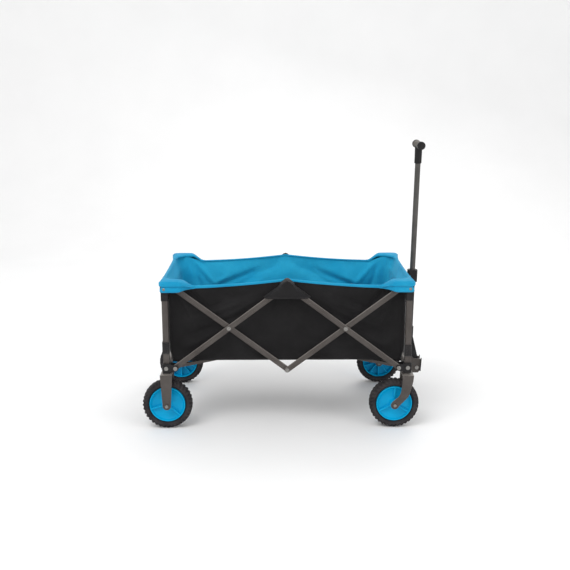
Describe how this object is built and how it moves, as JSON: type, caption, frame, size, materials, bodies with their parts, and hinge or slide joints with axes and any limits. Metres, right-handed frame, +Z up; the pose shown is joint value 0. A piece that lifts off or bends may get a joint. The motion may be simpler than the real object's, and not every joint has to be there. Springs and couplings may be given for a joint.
{
  "type": "folding utility cart",
  "caption": "Folding cart with a fabric bag on scissor side frames, two fixed rear wheels, two swivel front wheels and a telescoping T pull handle.",
  "frame": {"origin": "on the floor below the middle of the open cart", "axes": "+X towards the handle end, +Y to the cart's left, +Z up"},
  "size_m": [0.966, 0.534, 0.9379],
  "materials": {
    "frame_metal": "satin powder coat",
    "black_plastic": "fine moulded grain",
    "grip": "satin",
    "rivet": "bright zinc",
    "tyre": "matte rubber",
    "rim": "satin moulding",
    "black_fabric": "coated polyester weave",
    "blue_fabric": "coated polyester weave",
    "webbing": "woven webbing",
    "floor_board": "fabric covered board"
  },
  "bodies": {
    "rear_frame": {"rear_posts": "frame_metal", "rear_post_guides": "black_plastic", "rear_brackets": "black_plastic", "rear_cross_tube": "frame_metal", "rear_lower_pins": "rivet", "rear_straps": "webbing", "rear_forks": "frame_metal", "rear_axle_bolts": "rivet"},
    "front_frame": {"front_posts": "frame_metal", "front_post_guides": "black_plastic", "front_brackets": "black_plastic", "front_cross_tube": "frame_metal", "front_lower_pins": "rivet", "front_straps": "webbing", "kingpins": "rivet", "handle_cradle": "frame_metal", "cradle_flange": "black_plastic", "cradle_pin": "rivet"},
    "top_rear": {"rear_inner_posts": "frame_metal", "rear_top_fittings": "black_plastic", "rear_upper_pins": "rivet", "bag": "black_fabric", "rim_pockets": "black_fabric"},
    "top_front": {"front_inner_posts": "frame_metal", "front_top_fittings": "black_plastic", "front_upper_pins": "rivet"},
    "rear_floor": {"rear_floor_frame": "frame_metal", "rear_floor_board": "floor_board"},
    "front_floor": {"front_floor_frame": "frame_metal", "front_floor_board": "floor_board"},
    "handle_lower": {"handle_yoke": "black_plastic", "lower_tube": "black_plastic", "handle_collar": "black_plastic"},
    "handle_upper": {"upper_tube": "frame_metal", "t_grip": "grip", "grip_caps": "black_plastic"},
    "bar1_right": {"bar1_right": "frame_metal", "bar1_rivets_right": "rivet"},
    "bar2_right": {"bar2_right": "frame_metal"},
    "bar3_right": {"bar3_right": "frame_metal", "bar3_rivets_right": "rivet"},
    "bar4_right": {"bar4_right": "frame_metal"},
    "caster_right": {"caster_fork_right": "frame_metal", "caster_axle_bolt_right": "rivet"},
    "rear_wheel_right": {"rear_tyre_right": "tyre", "rear_rim_right": "rim"},
    "front_wheel_right": {"front_tyre_right": "tyre", "front_rim_right": "rim"},
    "bar1_left": {"bar1_left": "frame_metal", "bar1_rivets_left": "rivet"},
    "bar2_left": {"bar2_left": "frame_metal"},
    "bar3_left": {"bar3_left": "frame_metal", "bar3_rivets_left": "rivet"},
    "bar4_left": {"bar4_left": "frame_metal"},
    "caster_left": {"caster_fork_left": "frame_metal", "caster_axle_bolt_left": "rivet"},
    "rear_wheel_left": {"rear_tyre_left": "tyre", "rear_rim_left": "rim"},
    "front_wheel_left": {"front_tyre_left": "tyre", "front_rim_left": "rim"}
  },
  "joints": [
    {"name": "fold", "type": "hinge", "parent": "rear_frame", "child": "bar1_right", "pos_m": [-0.37, -0.2305, 0.2085], "axis": [0, -1, 0], "range_deg": [0, 43], "deforming": ["bag", "rim_pockets"]},
    {"name": "rear_crossing_right", "type": "hinge", "parent": "bar1_right", "child": "bar2_right", "pos_m": [-0.192, -0.2305, 0.3423], "axis": [0, -1, 0], "range_deg": [-86, 0]},
    {"name": "low_middle_right", "type": "hinge", "parent": "bar2_right", "child": "bar3_right", "pos_m": [0, -0.2305, 0.19798], "axis": [0, -1, 0], "range_deg": [0, 86]},
    {"name": "front_crossing_right", "type": "hinge", "parent": "bar3_right", "child": "bar4_right", "pos_m": [0.192, -0.2305, 0.3423], "axis": [0, -1, 0], "range_deg": [-86, 0]},
    {"name": "bar1_left_pivot", "type": "hinge", "parent": "rear_frame", "child": "bar1_left", "pos_m": [-0.37, 0.2305, 0.2085], "axis": [0, -1, 0], "range_deg": [0, 43]},
    {"name": "rear_crossing_left", "type": "hinge", "parent": "bar1_left", "child": "bar2_left", "pos_m": [-0.192, 0.2305, 0.3423], "axis": [0, -1, 0], "range_deg": [-86, 0]},
    {"name": "low_middle_left", "type": "hinge", "parent": "bar2_left", "child": "bar3_left", "pos_m": [0, 0.2305, 0.19798], "axis": [0, -1, 0], "range_deg": [0, 86]},
    {"name": "front_crossing_left", "type": "hinge", "parent": "bar3_left", "child": "bar4_left", "pos_m": [0.192, 0.2305, 0.3423], "axis": [0, -1, 0], "range_deg": [-86, 0]},
    {"name": "front_frame_pivot", "type": "hinge", "parent": "bar4_right", "child": "front_frame", "pos_m": [0.37, -0.2305, 0.2085], "axis": [0, -1, 0], "range_deg": [0, 43]},
    {"name": "top_rear_lift", "type": "hinge", "parent": "bar2_right", "child": "top_rear", "pos_m": [-0.37, -0.2305, 0.4761], "axis": [0, -1, 0], "range_deg": [0, 43]},
    {"name": "top_front_lift", "type": "hinge", "parent": "bar3_right", "child": "top_front", "pos_m": [0.37, -0.2305, 0.4761], "axis": [0, -1, 0], "range_deg": [-43, 0]},
    {"name": "rear_floor_hinge", "type": "hinge", "parent": "rear_frame", "child": "rear_floor", "pos_m": [-0.37, 0, 0.2085], "axis": [0, -1, 0], "range_deg": [0, 86]},
    {"name": "front_floor_hinge", "type": "hinge", "parent": "front_frame", "child": "front_floor", "pos_m": [0.37, 0, 0.2085], "axis": [0, 1, 0], "range_deg": [0, 86]},
    {"name": "rear_wheel_right_spin", "type": "hinge", "parent": "rear_frame", "child": "rear_wheel_right", "pos_m": [-0.4, -0.229, 0.083], "axis": [0, 1, 0], "continuous": true},
    {"name": "caster_right_swivel", "type": "hinge", "parent": "front_frame", "child": "caster_right", "pos_m": [0.4, -0.229, 0.186], "axis": [0, 0, 1], "continuous": true},
    {"name": "front_wheel_right_spin", "type": "hinge", "parent": "caster_right", "child": "front_wheel_right", "pos_m": [0.358, -0.229, 0.083], "axis": [0, 1, 0], "continuous": true},
    {"name": "rear_wheel_left_spin", "type": "hinge", "parent": "rear_frame", "child": "rear_wheel_left", "pos_m": [-0.4, 0.229, 0.083], "axis": [0, 1, 0], "continuous": true},
    {"name": "caster_left_swivel", "type": "hinge", "parent": "front_frame", "child": "caster_left", "pos_m": [0.4, 0.229, 0.186], "axis": [0, 0, 1], "continuous": true},
    {"name": "front_wheel_left_spin", "type": "hinge", "parent": "caster_left", "child": "front_wheel_left", "pos_m": [0.358, 0.229, 0.083], "axis": [0, 1, 0], "continuous": true},
    {"name": "handle_pivot", "type": "hinge", "parent": "front_frame", "child": "handle_lower", "pos_m": [0.467, 0, 0.135], "axis": [0, 1, 0], "range_deg": [0, 92]},
    {"name": "handle_slide", "type": "slide", "parent": "handle_lower", "child": "handle_upper", "axis": [0.0178, 0, 0.9998], "range_m": [-0.16, 0]}
  ],
  "couplings": [
    {"joint": "rear_crossing_right", "follows": "fold", "ratio": -2},
    {"joint": "low_middle_right", "follows": "fold", "ratio": 2},
    {"joint": "front_crossing_right", "follows": "fold", "ratio": -2},
    {"joint": "bar1_left_pivot", "follows": "fold", "ratio": 1},
    {"joint": "rear_crossing_left", "follows": "fold", "ratio": -2},
    {"joint": "low_middle_left", "follows": "fold", "ratio": 2},
    {"joint": "front_crossing_left", "follows": "fold", "ratio": -2},
    {"joint": "front_frame_pivot", "follows": "fold", "ratio": 1},
    {"joint": "top_rear_lift", "follows": "fold", "ratio": 1},
    {"joint": "top_front_lift", "follows": "fold", "ratio": -1},
    {"joint": "rear_floor_hinge", "follows": "fold", "ratio": 2},
    {"joint": "front_floor_hinge", "follows": "fold", "ratio": 2}
  ]
}
